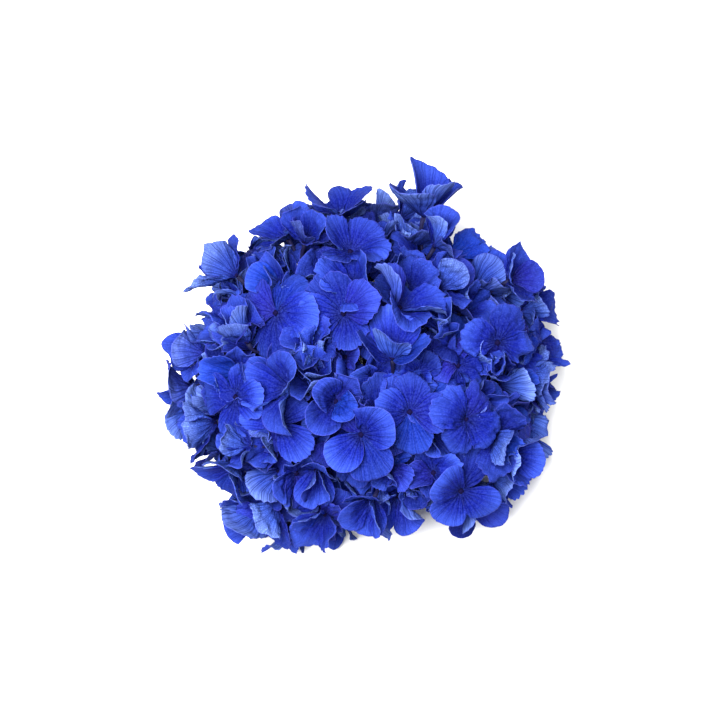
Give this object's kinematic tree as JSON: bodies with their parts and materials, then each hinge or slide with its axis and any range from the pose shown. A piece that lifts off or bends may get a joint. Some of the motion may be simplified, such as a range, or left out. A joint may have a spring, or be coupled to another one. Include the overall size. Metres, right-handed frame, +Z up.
{
  "type": "preserved hydrangea flower head",
  "caption": "Cut mophead hydrangea bloom, preserved and dyed deep blue: a dome of four-sepal florets on a forking stalk, resting face up on its lower florets.",
  "frame": {"origin": "on the surface the head rests on, under the middle of its box", "axes": "+Z up out of the face of the bloom, +X to the right of the face, +Y to its top"},
  "size_m": [0.1784, 0.1684, 0.1108],
  "materials": {
    "petal": "matte, softly veined, dyed ultramarine blue",
    "stalk": "matte, fibrous, stained dark blue-brown by the dye"
  },
  "bodies": {
    "root": {"stem": "stalk", "branch_1": "stalk", "branch_2": "stalk", "branch_3": "stalk", "branch_4": "stalk", "branch_5": "stalk", "branch_6": "stalk", "branch_7": "stalk", "cyme_01": "petal", "cyme_02": "petal", "cyme_03": "petal", "cyme_04": "petal", "cyme_05": "petal", "cyme_06": "petal", "cyme_07": "petal", "cyme_08": "petal", "cyme_09": "petal", "cyme_10": "petal", "cyme_11": "petal", "cyme_12": "petal", "cyme_13": "petal", "cyme_14": "petal", "cyme_15": "petal", "cyme_16": "petal", "cyme_17": "petal", "cyme_18": "petal", "cyme_19": "petal", "cyme_20": "petal", "cyme_21": "petal", "cyme_22": "petal", "cyme_23": "petal", "cyme_24": "petal", "cyme_25": "petal", "cyme_26": "petal", "cyme_27": "petal", "cyme_28": "petal", "cyme_29": "petal", "cyme_30": "petal", "cyme_31": "petal", "cyme_32": "petal", "cyme_33": "petal", "cyme_34": "petal", "cyme_35": "petal", "cyme_36": "petal", "cyme_37": "petal", "cyme_38": "petal", "cyme_39": "petal", "cyme_40": "petal"}
  },
  "joints": []
}
